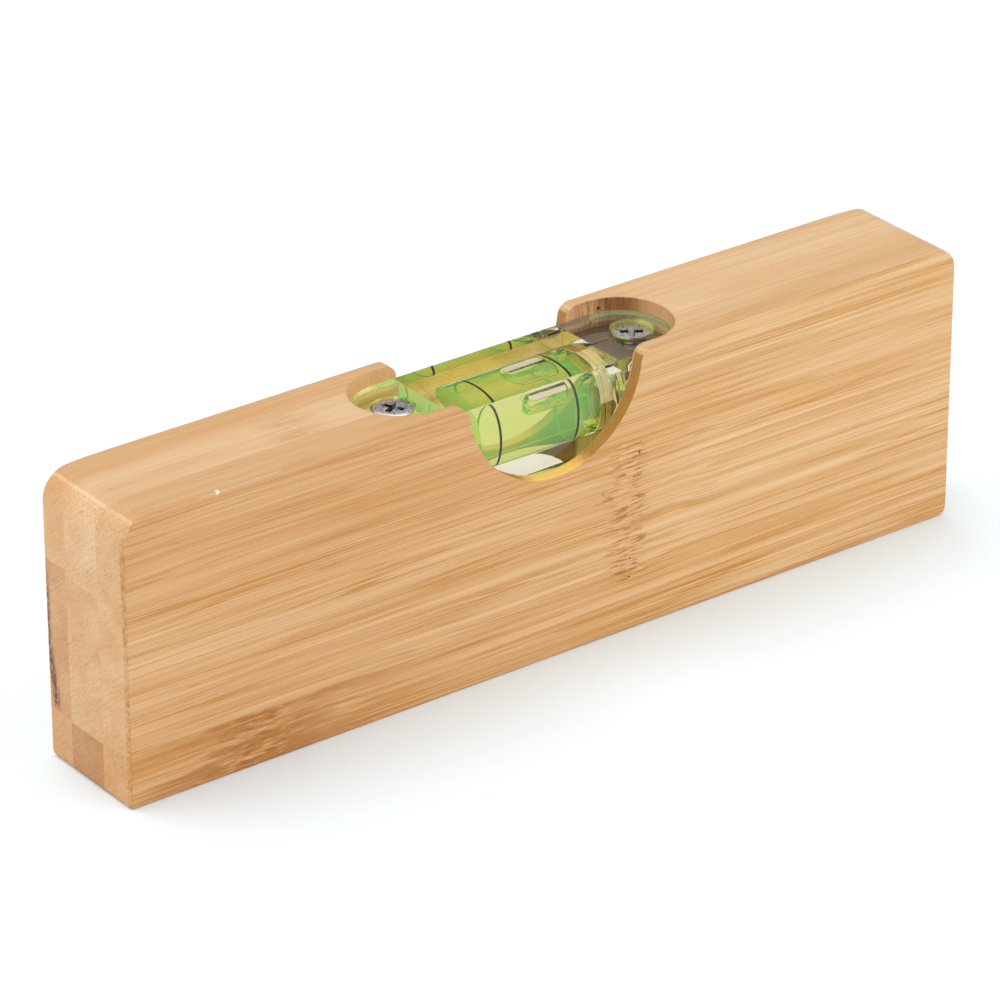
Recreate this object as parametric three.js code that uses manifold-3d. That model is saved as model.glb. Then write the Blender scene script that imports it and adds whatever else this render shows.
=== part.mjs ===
// Pocket spirit level: a block of laminated bamboo with a clear bubble vial screwed into its top edge.
// Millimetres, +X along the block, +Y to the back, +Z up, origin at the middle of the underside.
import * as THREE from 'three';
import { mergeVertices } from 'three/addons/utils/BufferGeometryUtils.js';
import Module from 'manifold-3d';

// ---- driving dimensions -------------------------------------------------------------------------
const LENGTH = 150;
const THICKNESS = 20;
const HEIGHT = 45;
const CORNER = { topLeft: 4.5, topRight: 3.5, bottomRight: 1.6, bottomLeft: 1 };

// Three plies across the thickness, each edge-glued from strips stacked in height.
const PLIES = {
  front: { yMin: -THICKNESS / 2, yMax: -3.5, lowerJoint: 8.5, upperJoint: 30.75 },
  core: { yMin: -3.5, yMax: 4.5, lowerJoint: 7.75, upperJoint: 30.75 },
  rear: { yMin: 4.5, yMax: THICKNESS / 2, lowerJoint: 8, upperJoint: 31.75 },
};

// Half-round window through the block, and the pockets milled down from the top edge.
const WINDOW = { x: -0.4, radius: 15.5, mouthRadius: 2 };
const EAR_POCKET = { xMin: -28.3, xMax: 26.8, halfWidth: 7.85, floor: 39 };
const BODY_POCKET = { xMin: -17.1, xMax: 15, halfWidth: 7.85, cornerRadius: 1.2, floor: 28.55 };

// Vial: a clear block with two flat ears, bored along its length.
const VIAL = { top: 43.1, bottom: 28.7, halfWidth: 7.5, bodyMin: -15.7, bodyMax: 14, earMin: -27.7,
  earMax: 26.5 };
const EAR_THICKNESS = 2.3;
const BORE = { radius: 5, z: 35.45, closedEnd: -11, step: 12.9, mouthRadius: 5.4 };
const PLUG = { start: 10.45, fit: 0.1 };
const FLUID = { radius: 4.75, endGap: 0.15 };
const RING = { inner: 4.8, outer: 4.95, width: 0.38, centres: [-7.5, 6.5] };
const BUBBLE = { xMin: -1.9, xMax: 6.4, halfWidth: 3.1, halfHeight: 1.6, capLength: 3, z: 38.45,
  clearance: 0.2 };

// Countersunk cross-recess wood screws.
const SCREW = { headRadius: 3, neckRadius: 1.3, neckTaper: 0.3, coreRadius: 1, threadRadius: 1.35, rim: 0.35,
  length: 10.8, pitch: 1.1, plainLength: 0.5, pointLength: 2.2, holeGap: 0.3 };
const THREAD_TURN = { rise: 0.35, crest: 0.6, fall: 0.85 };  // where one turn lies, as parts of the pitch
const RECESS = { width: 0.85, reach: 1.75, depth: 1.2, tipRadius: 0.35, angle: 0.6 };
const SCREWS = [
  { side: 'left', x: -22.05, headTop: 43.05 },
  { side: 'right', x: 21, headTop: 42.6 },
];

const ROUND = 48;        // steps round a large circle
const SMALL_ROUND = 24;  // steps round a small circle
const CAP_STEPS = 8;      // steps over each rounded end of the bubble
const OVERCUT = 5;       // how far a cutter passes beyond the face it opens

// ---- solids -------------------------------------------------------------------------------------
const wasm = await Module();
wasm.setup();

function solid(geometry) {
  const bare = geometry.clone();
  bare.deleteAttribute('normal');
  bare.deleteAttribute('uv');
  const merged = mergeVertices(bare, 1e-5);
  return new wasm.Manifold(new wasm.Mesh({
    numProp: 3,
    vertProperties: new Float32Array(merged.attributes.position.array),
    triVerts: new Uint32Array(merged.index.array),
  }));
}

function geometryOf(manifold) {
  const mesh = manifold.getMesh();
  const geometry = new THREE.BufferGeometry();
  geometry.setAttribute('position', new THREE.BufferAttribute(new Float32Array(mesh.vertProperties), 3));
  geometry.setIndex(new THREE.BufferAttribute(new Uint32Array(mesh.triVerts), 1));
  geometry.computeVertexNormals();
  return geometry;
}

function boxSolid(x0, x1, y0, y1, z0, z1) {
  const box = new THREE.BoxGeometry(x1 - x0, y1 - y0, z1 - z0);
  box.translate((x0 + x1) / 2, (y0 + y1) / 2, (z0 + z1) / 2);
  return solid(box);
}

// An outline in the plane of X and Z, run through the block from y0 to y1.
function frontPrism(shape, y0, y1, curveSegments = ROUND / 2) {
  const prism = new THREE.ExtrudeGeometry(shape, { depth: y1 - y0, bevelEnabled: false, curveSegments });
  prism.rotateX(Math.PI / 2);
  prism.translate(0, y1, 0);
  return solid(prism);
}

// An outline in the plane of X and Y, run upwards from z0 to z1.
function planPrism(shape, z0, z1, curveSegments = ROUND / 2) {
  const prism = new THREE.ExtrudeGeometry(shape, { depth: z1 - z0, bevelEnabled: false, curveSegments });
  prism.translate(0, 0, z0);
  return solid(prism);
}

// A profile of [radius, distance] pairs turned about the X axis, or about an upright axis at x.
function turnedAlongX(profile, z, steps = ROUND) {
  const lathe = new THREE.LatheGeometry(profile.map(([r, x]) => new THREE.Vector2(r, x)), steps);
  lathe.rotateZ(-Math.PI / 2);
  lathe.translate(0, 0, z);
  return solid(lathe);
}

function turnedUpright(profile, x, steps = SMALL_ROUND) {
  const lathe = new THREE.LatheGeometry(profile.map(([r, z]) => new THREE.Vector2(r, z)), steps);
  lathe.rotateX(Math.PI / 2);
  lathe.translate(x, 0, 0);
  return solid(lathe);
}

function stadium(xMin, xMax, halfWidth) {
  const shape = new THREE.Shape();
  shape.absarc(xMax - halfWidth, 0, halfWidth, -Math.PI / 2, Math.PI / 2, false);
  shape.absarc(xMin + halfWidth, 0, halfWidth, Math.PI / 2, Math.PI * 1.5, false);
  shape.closePath();
  return shape;
}

function roundedRectangle(x0, x1, y0, y1, radii) {
  const { bottomLeft, bottomRight, topRight, topLeft } = radii;
  const shape = new THREE.Shape();
  shape.absarc(x1 - bottomRight, y0 + bottomRight, bottomRight, -Math.PI / 2, 0, false);
  shape.absarc(x1 - topRight, y1 - topRight, topRight, 0, Math.PI / 2, false);
  shape.absarc(x0 + topLeft, y1 - topLeft, topLeft, Math.PI / 2, Math.PI, false);
  shape.absarc(x0 + bottomLeft, y0 + bottomLeft, bottomLeft, Math.PI, Math.PI * 1.5, false);
  shape.closePath();
  return shape;
}

// ---- bamboo block -------------------------------------------------------------------------------
// The window is a half circle whose two mouth corners are rounded into the top edge.
function windowOutline() {
  const { x, radius, mouthRadius } = WINDOW;
  const reach = Math.sqrt((radius + mouthRadius) ** 2 - mouthRadius ** 2);
  const turn = Math.asin(mouthRadius / (radius + mouthRadius));
  const shape = new THREE.Shape();
  shape.moveTo(x - reach, HEIGHT + OVERCUT);
  shape.absarc(x - reach, HEIGHT - mouthRadius, mouthRadius, Math.PI / 2, turn, true);
  shape.absarc(x, HEIGHT, radius, Math.PI + turn, 2 * Math.PI - turn, false);
  shape.absarc(x + reach, HEIGHT - mouthRadius, mouthRadius, Math.PI - turn, Math.PI / 2, true);
  shape.lineTo(x + reach, HEIGHT + OVERCUT);
  shape.closePath();
  return shape;
}

function pocketCutter() {
  const r = BODY_POCKET.cornerRadius;
  const bodyOutline = roundedRectangle(BODY_POCKET.xMin, BODY_POCKET.xMax, -BODY_POCKET.halfWidth,
    BODY_POCKET.halfWidth, { bottomLeft: r, bottomRight: r, topRight: r, topLeft: r });
  const earOutline = stadium(EAR_POCKET.xMin, EAR_POCKET.xMax, EAR_POCKET.halfWidth);
  let cutter = frontPrism(windowOutline(), -THICKNESS / 2 - OVERCUT, THICKNESS / 2 + OVERCUT);
  cutter = cutter.add(planPrism(earOutline, EAR_POCKET.floor, HEIGHT + OVERCUT));
  cutter = cutter.add(planPrism(bodyOutline, BODY_POCKET.floor, HEIGHT + OVERCUT, 8));
  for (const { x, headTop } of SCREWS) {
    const radius = SCREW.threadRadius + SCREW.holeGap;
    const bottom = headTop - SCREW.length - SCREW.holeGap;
    cutter = cutter.add(turnedUpright([
      [0, bottom], [radius, bottom + radius], [radius, HEIGHT], [0, HEIGHT]], x));
  }
  return cutter;
}

function bambooStrips() {
  const outline = roundedRectangle(-LENGTH / 2, LENGTH / 2, 0, HEIGHT, CORNER);
  const block = frontPrism(outline, -THICKNESS / 2, THICKNESS / 2, 6).subtract(pocketCutter());
  const strips = {};
  const cut = (name, x0, x1, ply, z0, z1) => {
    strips[name] = block.intersect(boxSolid(x0, x1, ply.yMin, ply.yMax, z0, z1));
  };
  for (const [name, ply] of Object.entries(PLIES)) {
    cut(`${name}_ply_lower_strip`, -LENGTH, LENGTH, ply, 0, ply.lowerJoint);
    cut(`${name}_ply_middle_strip`, -LENGTH, LENGTH, ply, ply.lowerJoint, ply.upperJoint);
    cut(`${name}_ply_upper_strip_left`, -LENGTH, WINDOW.x, ply, ply.upperJoint, HEIGHT);
    cut(`${name}_ply_upper_strip_right`, WINDOW.x, LENGTH, ply, ply.upperJoint, HEIGHT);
  }
  return strips;
}

// ---- vial ---------------------------------------------------------------------------------------
function vialBlock() {
  const { top, bottom, halfWidth, bodyMin, bodyMax, earMin, earMax } = VIAL;
  const ears = planPrism(stadium(earMin, earMax, halfWidth), top - EAR_THICKNESS, top);
  let block = ears.add(boxSolid(bodyMin, bodyMax, -halfWidth, halfWidth, bottom, top));
  block = block.subtract(turnedAlongX([
    [0, BORE.closedEnd], [BORE.radius, BORE.closedEnd], [BORE.radius, BORE.step],
    [BORE.mouthRadius, BORE.step], [BORE.mouthRadius, bodyMax + OVERCUT], [0, bodyMax + OVERCUT]], BORE.z));
  for (const { x, headTop } of SCREWS) {
    const hole = SCREW.neckRadius + SCREW.holeGap;
    const mouth = SCREW.headRadius + SCREW.holeGap;
    const coneTop = headTop - SCREW.rim;
    block = block.subtract(turnedUpright([
      [0, bottom], [hole, bottom], [hole, coneTop - (mouth - hole)], [mouth, coneTop], [mouth, top + OVERCUT],
      [0, top + OVERCUT]], x));
  }
  return block;
}

function vialPlug() {
  const inner = BORE.radius - PLUG.fit;
  const outer = BORE.mouthRadius - PLUG.fit;
  const shoulder = BORE.step + PLUG.fit;
  return turnedAlongX([[0, PLUG.start], [inner, PLUG.start], [inner, shoulder], [outer, shoulder],
    [outer, VIAL.bodyMax], [0, VIAL.bodyMax]], BORE.z);
}

// The bubble: a round-ended slug, flattened against the top of the bore. grow enlarges its section.
function bubbleSolid(xMin, xMax, grow) {
  const half = (xMax - xMin) / 2;
  const profile = [];
  for (let i = 0; i <= CAP_STEPS; i += 1) {
    const a = (i / CAP_STEPS) * Math.PI / 2;
    profile.push([Math.sin(a), -half + BUBBLE.capLength * (1 - Math.cos(a))]);
  }
  for (let i = CAP_STEPS; i >= 0; i -= 1) {
    const a = (i / CAP_STEPS) * Math.PI / 2;
    profile.push([Math.sin(a), half - BUBBLE.capLength * (1 - Math.cos(a))]);
  }
  profile[0][0] = 0;
  profile[profile.length - 1][0] = 0;
  const lathe = new THREE.LatheGeometry(profile.map(([r, x]) => new THREE.Vector2(r, x)), SMALL_ROUND);
  lathe.rotateZ(-Math.PI / 2);
  lathe.scale(1, BUBBLE.halfWidth + grow, BUBBLE.halfHeight + grow);
  lathe.translate((xMin + xMax) / 2, 0, BUBBLE.z);
  return solid(lathe);
}

// The liquid fills the bore, with room left along its top for the bubble to run.
function vialFluid() {
  const start = BORE.closedEnd + FLUID.endGap;
  const end = PLUG.start - FLUID.endGap;
  const column = turnedAlongX([[0, start], [FLUID.radius, start], [FLUID.radius, end], [0, end]], BORE.z);
  return column.subtract(bubbleSolid(start - OVERCUT, end + OVERCUT, BUBBLE.clearance));
}

function indexRing(x) {
  const { inner, outer, width } = RING;
  const [x0, x1] = [x - width / 2, x + width / 2];
  return turnedAlongX([[inner, x0], [outer, x0], [outer, x1], [inner, x1], [inner, x0]], BORE.z);
}

// ---- screws -------------------------------------------------------------------------------------
// The cross recess: two square-ended wings that taper downwards.
function crossRecess(x, headTop) {
  const { width, reach, depth, tipRadius, angle } = RECESS;
  const height = depth + 1;
  const wings = [angle, angle + Math.PI / 2].map((turn) => {
    const wing = new THREE.CylinderGeometry(reach * Math.SQRT2, tipRadius, height, 4, 1);
    wing.rotateY(Math.PI / 4);
    wing.scale(1, 1, width / (2 * reach));
    wing.rotateX(Math.PI / 2);
    wing.rotateZ(turn);
    wing.translate(x, 0, headTop - depth + height / 2);
    return solid(wing);
  });
  return wings[0].add(wings[1]);
}

function screwSolid({ x, headTop }) {
  const { headRadius, neckRadius, coreRadius, threadRadius, rim, pitch } = SCREW;
  const neck = headTop - rim - (headRadius - neckRadius);
  const tip = headTop - SCREW.length;
  const pointTop = tip + SCREW.pointLength;
  const profile = [[0, tip], [coreRadius, pointTop]];
  for (let z = pointTop; z + pitch < neck - SCREW.plainLength; z += pitch) {
    profile.push([coreRadius, z + pitch * THREAD_TURN.rise], [threadRadius, z + pitch * THREAD_TURN.crest],
      [coreRadius, z + pitch * THREAD_TURN.fall]);
  }
  profile.push([neckRadius, neck - SCREW.neckTaper], [neckRadius, neck], [headRadius, headTop - rim],
    [headRadius, headTop], [0, headTop]);
  return turnedUpright(profile, x).subtract(crossRecess(x, headTop));
}

// ---- scene graph --------------------------------------------------------------------------------
const bamboo = { color: 0xd9a673, roughness: 0.6, metalness: 0 };
const bambooCore = { color: 0xcf9c6c, roughness: 0.65, metalness: 0 };
const acrylic = { color: 0xf2f5ee, roughness: 0.05, metalness: 0, transparent: true, opacity: 0.35 };
const liquid = { color: 0x9fd03a, roughness: 0.1, metalness: 0, transparent: true, opacity: 0.7 };
const air = { color: 0xe8f4d8, roughness: 0.05, metalness: 0, transparent: true, opacity: 0.5 };
const ink = { color: 0x15170f, roughness: 0.6, metalness: 0 };
const steel = { color: 0x9a9a9c, roughness: 0.35, metalness: 1 };

const level = new THREE.Group();

function addPiece(name, manifold, look) {
  const mesh = new THREE.Mesh(geometryOf(manifold), new THREE.MeshStandardMaterial(look));
  mesh.name = name;
  level.add(mesh);
}

for (const [name, strip] of Object.entries(bambooStrips())) {
  addPiece(name, strip, name.startsWith('core') ? bambooCore : bamboo);
}
addPiece('vial_block', vialBlock(), acrylic);
addPiece('vial_plug', vialPlug(), acrylic);
addPiece('vial_fluid', vialFluid(), liquid);
addPiece('bubble', bubbleSolid(BUBBLE.xMin, BUBBLE.xMax, 0), air);
addPiece('index_ring_left', indexRing(RING.centres[0]), ink);
addPiece('index_ring_right', indexRing(RING.centres[1]), ink);
for (const screw of SCREWS) {
  addPiece(`screw_${screw.side}`, screwSolid(screw), steel);
}

export default level;
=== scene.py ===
"""Bamboo spirit level: the finished look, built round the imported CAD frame.

Everything is in metres in the row frame: +X along the block, +Y to the back, +Z up. Sizes and
places below are in millimetres unless they say otherwise, and MM turns them into metres.
"""
import math

import bmesh
import bpy
from mathutils import Matrix, Vector


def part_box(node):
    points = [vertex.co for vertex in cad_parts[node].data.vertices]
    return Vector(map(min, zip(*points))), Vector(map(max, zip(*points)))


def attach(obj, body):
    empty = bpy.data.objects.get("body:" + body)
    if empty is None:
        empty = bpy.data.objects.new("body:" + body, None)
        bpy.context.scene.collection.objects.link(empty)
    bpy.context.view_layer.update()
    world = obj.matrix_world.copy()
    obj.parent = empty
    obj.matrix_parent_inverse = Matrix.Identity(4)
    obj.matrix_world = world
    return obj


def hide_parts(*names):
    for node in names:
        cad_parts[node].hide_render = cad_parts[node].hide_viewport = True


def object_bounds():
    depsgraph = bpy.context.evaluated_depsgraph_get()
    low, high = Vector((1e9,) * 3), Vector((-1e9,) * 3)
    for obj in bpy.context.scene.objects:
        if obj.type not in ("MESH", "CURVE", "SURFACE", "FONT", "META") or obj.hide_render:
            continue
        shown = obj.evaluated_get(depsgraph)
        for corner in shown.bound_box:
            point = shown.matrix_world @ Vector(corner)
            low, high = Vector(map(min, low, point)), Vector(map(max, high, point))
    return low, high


MM = 0.001
ROOT_BODY = "level"
BUBBLE_BODY = "bubble"


def rgb(red, green, blue):
    return (red, green, blue, 1.0)


# Camera: where it stands, which way it looks, its lens, and how near and far it sees in metres.
CAMERA_PLACE = Vector((-440.9, -582.0, 394.5)) * MM
CAMERA_AZIMUTH = math.radians(-36.952)
CAMERA_ELEVATION = math.radians(27.066)
CAMERA_ROLL = math.radians(-0.101)
CAMERA_LENS = 202.5
SENSOR_WIDTH = 36.0
CLIP_START = 0.01
CLIP_END = 20.0

# Light. A sun is its azimuth, counted from +X towards +Y, its elevation and spread in degrees, and
# its strength. Mirror reflections see the dim room, and the softbox where they look up past its
# edge, which is the upward part of a direction.
SUNS = {"key_behind": (125, 70, 40, 0.85), "fill_right": (-50, 25, 80, 0.42)}
WORLD = 0.94
ROOM = 0.22
SOFTBOX = 1.6
SOFTBOX_EDGE = 0.72
SOFTBOX_SOFT = 0.1
FLOOR_COLOURS = (rgb(0.86, 0.945, 1.0), rgb(0.87, 0.955, 1.0))
FLOOR_HALF_WIDTH = 6.0  # metres
BOUNCES = 24
GLOSSY_BLUR = 0.3

# Block: half its length, how near its end an edge counts as outer, how far from the middle the
# cuts reach, and how much the outer edges and the cut ones are rounded over.
BLOCK_END = 75.0
END_ZONE = 5.0
CUT_ZONE = 30.0
OUTER_ROUNDING = 0.45
CUT_ROUNDING = 0.3

# Cuts in its top edge: the pocket, with the middles of its round ends, its radius and the ledge
# that the vial's ears lie on, and the round window.
POCKET_ENDS = (-20.45, 18.95)
POCKET_RADIUS = 8.0
LEDGE_Z = 39.0
WINDOW_X = -0.4
WINDOW_Z = 45.0
WINDOW_RADIUS = 15.5

# Vial; the same sizes as the CAD nodes that the fine pieces stand for. A pair in x or z is where
# something starts and ends.
VIAL_HALF_WIDTH = 7.5
BODY_X = (-15.7, 14.0)
EAR_X = (-27.7, 26.5)
VIAL_Z = (28.7, 43.1)
EAR_THICKNESS = 2.3
MOULDED_EDGE = 0.07
BORE_Z = 35.45
BORE_RADIUS = 5.0
BORE_X = (-11.0, 12.9)
BORE_MOUTH_RADIUS = 5.4
PLUG_START = 10.45
PLUG_FIT = 0.06
PLUG_EDGE = 0.15
PLUG_LIT_ABOVE = 0.8
LIQUID_GAP = 0.045
RING_X = (-7.5, 6.5)
RING_WIDTH = 0.42
RING_RADII = (4.974, 4.992)
RING_EDGE = 0.004
BUBBLE_X = (-1.9, 6.4)
BUBBLE_Z = 38.75
BUBBLE_HALF_WIDTH = 3.1
BUBBLE_HALF_HEIGHT = 1.9
BUBBLE_CAP = 1.5
BUBBLE_BACK_RADIUS = 4.968

# Screws: each as its x, the height of its head's top, and the turn of its recess in radians. The
# recess narrows from above the head to its bottom, each section as half length, half width and z.
SCREWS = {"screw_left": (-22.05, 43.05, 0.45), "screw_right": (21.0, 42.6, 0.95)}
SCREW_HEAD_RADIUS = 3.0
SCREW_NECK_RADIUS = 1.3
SCREW_NECK_LENGTH = 0.8
SCREW_CORE_RADIUS = 1.0
SCREW_THREAD_RADIUS = 1.35
SCREW_RIM = 0.35
SCREW_CROWN = 0.12
SCREW_LENGTH = 10.8
SCREW_PITCH = 1.1
SCREW_CREST = 0.22  # half the width of the thread's ridge, in turns
SCREW_POINT = 2.2
SCREW_HOLE_GAP = 0.3
EAR_HOLE_ZONE = 4.0
RECESS_DEPTH = 1.45
RECESS_REACH = 2.3
RECESS_SECTIONS = [(0.35, 0.22, -RECESS_DEPTH), (1.75, 0.46, 0.0), (RECESS_REACH, 0.56, 0.6)]

# How finely things are made: steps round a circle or along a length, how far a cutter runs past
# what it cuts, and the distance in metres below which two places are one.
BORE_STEPS = 160
RING_STEPS = 128
HOLE_STEPS = 96
EAR_STEPS = 40
BUBBLE_STEPS = 64
BUBBLE_CAP_STEPS = 28
SCREW_STEPS = 48
THREAD_STEPS = 150
ROUNDING_STEPS = 3
OVERRUN = 3.0
SAME_PLACE = 1e-6

# Angles in degrees: edges below the first one are dissolved, and edges below the second are drawn
# smooth. A face larger than LARGE_FACE, in square metres, is drawn flat.
DISSOLVE_BLOCK = 0.4
DISSOLVE_VIAL = 0.3
SMOOTH_BLOCK = 40
SMOOTH_VIAL = 30
SMOOTH_BUBBLE = 60
SMOOTH_RING = 50
SMOOTH_SCREW = 32
LARGE_FACE = 20 * MM * MM

# Refractive indices, each relative to what lies on the other side of the surface.
IOR_ACRYLIC = 1.49
IOR_LIQUID = 1.44
IOR_WET_BORE = IOR_ACRYLIC / IOR_LIQUID
IOR_BUBBLE = 1 / IOR_LIQUID

# Colours of the vial. A shadow colour is what a lamp's light turns to on its way through. A glow is
# a colour and a strength: painted light, emission that stands for light that the plastic or dye
# gathers and gives off.
CLEAR_TINT = rgb(0.865, 0.82, 0.665)
CLEAR_SHADOW = rgb(0.95, 0.95, 0.85)
CLEAR_HAZE = 0.035
SPIRIT_TINTS = (rgb(0.82, 0.83, 0.46), rgb(0.80, 0.81, 0.40))
SPIRIT_SHADOW = rgb(0.86, 0.93, 0.55)
SPIRIT_ABSORPTION = rgb(0.84, 0.36, 0.37)
SPIRIT_DENSITY = 100.0
SPIRIT_GLOW = rgb(0.22, 1.0, 0.28)
SPIRIT_DEPTH_GLOW = 59.0
SPIRIT_SURFACE_GLOW = 0.02
SPIRIT_END_GLOW = 0.03
EDGE_GLOW = (rgb(0.55, 1.0, 0.28), 0.17)
PLUG_GLOW = (rgb(1.0, 0.94, 0.62), 0.31)
AIR_TINTS = (rgb(1.0, 1.0, 1.0), rgb(0.97, 1.0, 0.94))
AIR_SHADOW = rgb(0.97, 1.0, 0.95)
INK_COLOURS = (rgb(0.004, 0.006, 0.003), rgb(0.02, 0.026, 0.014))
# The ink's side that faces the liquid: a painted green glow.
INK_PAINTED_GLOW = rgb(0.16, 0.38, 0.06)

# Colours of the screws' steel, and of the painted shade in the recess of their heads, dark and
# light.
STEEL_COLOURS = (rgb(0.58, 0.51, 0.50), rgb(0.97, 0.93, 0.93))
RECESS_SHADE_COLOURS = (rgb(0.05, 0.05, 0.05), rgb(0.40, 0.38, 0.37))

# Colours of the bamboo: its fibres, its growth nodes and what is left of its bark.
BAMBOO_PALE = rgb(0.765, 0.470, 0.235)
BAMBOO_HONEY = rgb(0.700, 0.380, 0.160)
BAMBOO_CREAM = rgb(0.830, 0.560, 0.315)
BAMBOO_ORANGE = rgb(0.640, 0.295, 0.090)
BAMBOO_LINE = rgb(0.470, 0.185, 0.050)
BAMBOO_THREAD = rgb(0.560, 0.235, 0.035)
BAMBOO_SMEAR = rgb(0.460, 0.185, 0.035)
BAMBOO_NODE = rgb(0.420, 0.155, 0.032)
BAMBOO_PORE = rgb(0.070, 0.022, 0.008)
BAMBOO_BARK = rgb(0.190, 0.062, 0.030)
# Pale wood of a chip, also used for a painted highlight along an edge.
BAMBOO_CHIP_AND_HIGHLIGHT = rgb(0.950, 0.900, 0.800)

# Colours of what the cutter left: scorched wood, and the cut face of the window from its top down,
# scorched with painted shade and then a painted gold light. Then painted light and painted shade on
# the pocket's walls, floor and ledges, some of them seen through the tinted vial.
BAMBOO_SCORCH = rgb(0.300, 0.125, 0.045)
BAMBOO_BURNT = rgb(0.085, 0.042, 0.018)
CUT_GOLD_PAINTED_LIGHT = rgb(0.900, 0.560, 0.140)
CUT_SCORCH_AND_SHADE = rgb(0.390, 0.175, 0.022)
UPPER_WALL_PAINTED_LIGHT = rgb(0.960, 0.560, 0.280)
WALL_BROWN = rgb(0.400, 0.170, 0.055)
EAR_WALL_PAINTED_LIGHT = rgb(0.950, 0.820, 0.360)
DEEP_WALL_PAINTED_SHADE = rgb(0.250, 0.150, 0.040)
END_WALL_PAINTED_LIGHT = rgb(0.950, 0.850, 0.560)
SEAT_FLOOR_PAINTED_LIGHT = rgb(0.900, 0.700, 0.320)
LEFT_LEDGE_PAINTED_LIGHT = rgb(0.860, 0.740, 0.270)

# Painted light that the wood is multiplied by: the sides lighter to the right, and the top faces
# tinted apart from them, changing between two places in x.
PAINTED_LIGHT_SPAN = (-45.0, 50.0)
PAINTED_LIGHT_LEFT = rgb(0.960, 0.940, 0.910)
PAINTED_LIGHT_RIGHT = rgb(1.070, 1.125, 1.160)
PAINTED_LIGHT_TOP_LEFT = rgb(0.870, 0.905, 0.945)
PAINTED_LIGHT_TOP_RIGHT = rgb(0.890, 0.970, 1.060)
PAINTED_LIGHT_ENDS = rgb(1.0, 1.0, 1.0)

# What differs from strip to strip: where the pattern starts, a tint, how strong the lines are, and
# the growth nodes, each as (middle in x, half width, strength of the flecks, strength of the brown
# smears, how far the smears reach).
STRIPS = {
    "front_ply_lower_strip": (3.1, (0.99, 0.97, 0.93), 1.25, [(-53.0, 6.5, 1.0, 1.0, 26.0)]),
    "front_ply_middle_strip": (11.7, (1.0, 1.0, 1.0), 1.0, [(12.6, 3.4, 1.0, 0.22, 8.0)]),
    "front_ply_upper_strip": (23.9, (0.98, 0.97, 0.95), 0.85, []),
    "core_ply_lower_strip": (31.3, (0.78, 0.66, 0.53), 0.8, []),
    "core_ply_middle_strip": (42.7, (0.98, 0.98, 0.97), 0.6, []),
    "core_ply_upper_strip": (57.1, (1.06, 1.12, 1.24), 0.6, [(-39.0, 4.0, 0.25, 0.25, 6.0)]),
    "rear_ply_lower_strip": (61.9, (0.98, 0.96, 0.92), 1.0, [(38.0, 4.0, 0.8, 0.8, 10.0)]),
    "rear_ply_middle_strip": (73.3, (0.89, 0.83, 0.78), 0.9, [(-26.0, 4.0, 0.8, 0.8, 10.0)]),
    "rear_ply_upper_strip": (87.7, (1.02, 1.04, 1.07), 0.7, []),
}

# Noise drawn out along the fibres, from clouds to hairs: how fast it changes along the fibres and
# across them, its detail and its roughness. Its section is alike in y and z, so the ends show dots.
FIBRES = {
    "cloud": (0.012, 0.13, 2.0, 0.5),
    "coarse": (0.006, 0.42, 2.0, 0.5),
    "medium": (0.012, 1.15, 2.0, 0.6),
    "fine": (0.030, 3.2, 3.0, 0.6),
    "hair": (0.110, 8.0, 2.0, 0.5),
    "fading": (0.035, 0.9, 2.0, 0.5),
    "thread": (0.0035, 0.8, 2.0, 0.55),
    "fine_thread": (0.006, 2.1, 2.0, 0.55),
}
THREAD_LEVELS = (0.40, 0.46, 0.52, 0.58, 0.64)
FINE_THREAD_LEVELS = (0.43, 0.56)

# How far the fibres drift up and down along the block, and how far they waver beside a growth
# node; how far to its right that lies, and over what length it fades; how ragged a node's band is.
DRIFT = 2.2
WAVER = 1.7
WAVER_OFFSET = 5.0
WAVER_FADE = 15.0
NODE_WOBBLE = 8.0

# Depth of the relief in the wood and on the steel, in metres.
BAMBOO_RELIEF = 0.00008
STEEL_RELIEF = 0.00002

# How upright a face's normal is where the face begins to lie flat and where it does, and where it
# begins to be steep and where it is.
LYING = (0.5, 0.9)
STEEP = (0.6, 0.3)

# Marks that only some strips have: bark, a dark corner, a chip, and a painted highlight along the
# top front edge beside it. A pair is where a ramp starts and ends. Three numbers are a middle, a
# half width and how softly it ends.
BARK_EDGE = (9.0, 20.0, 8.1, 9.75)  # two heights, and the mark's y at each
BARK_WIDTH = (0.25, 1.1)
BARK_FOOT = (7.8, 9.5)
BARK_TOP = (33.0, 24.0)
BARK_END = (-73.0, -74.8)
CORNER_END = (-74.35, -74.75)
CORNER_FRONT = (-9.3, -9.75)
CHIP_X = (-59.0, 0.1, 0.3)
CHIP_TOP = (44.45, 44.7)
CHIP_FRONT = (-9.4, -9.65)
EDGE_HIGHLIGHT_X = (-55.0, 5.0, 3.0)
EDGE_HIGHLIGHT_TOP = (44.9, 0.03, 0.08)
EDGE_HIGHLIGHT_FRONT = (-9.6, -9.75)
EDGE_HIGHLIGHT_STRENGTH = 0.38

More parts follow.
